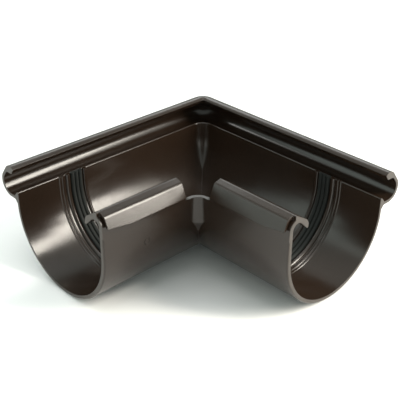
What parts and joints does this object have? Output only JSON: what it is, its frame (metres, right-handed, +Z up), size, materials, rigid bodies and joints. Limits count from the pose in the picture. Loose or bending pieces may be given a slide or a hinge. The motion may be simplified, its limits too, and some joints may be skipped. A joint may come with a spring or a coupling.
{
  "type": "gutter external angle",
  "caption": "Half-round rainwater gutter angle for an outside corner, with a sealed socket, a rear clip and a hollow front bead on each arm.",
  "frame": {"origin": "centre of the bounding box in plan, at the underside of the channels", "axes": "+Z up; one arm points along -X and the other along -Y, so the bead and the outer corner are on the +X and +Y sides"},
  "size_m": [0.263, 0.263, 0.1106],
  "materials": {
    "pvc_brown": "satin-gloss dark brown moulded PVC",
    "rubber_black": "matt black rubber"
  },
  "bodies": {
    "root": {"angle_body": "pvc_brown", "seal_x": "rubber_black", "seal_y": "rubber_black"}
  },
  "joints": []
}
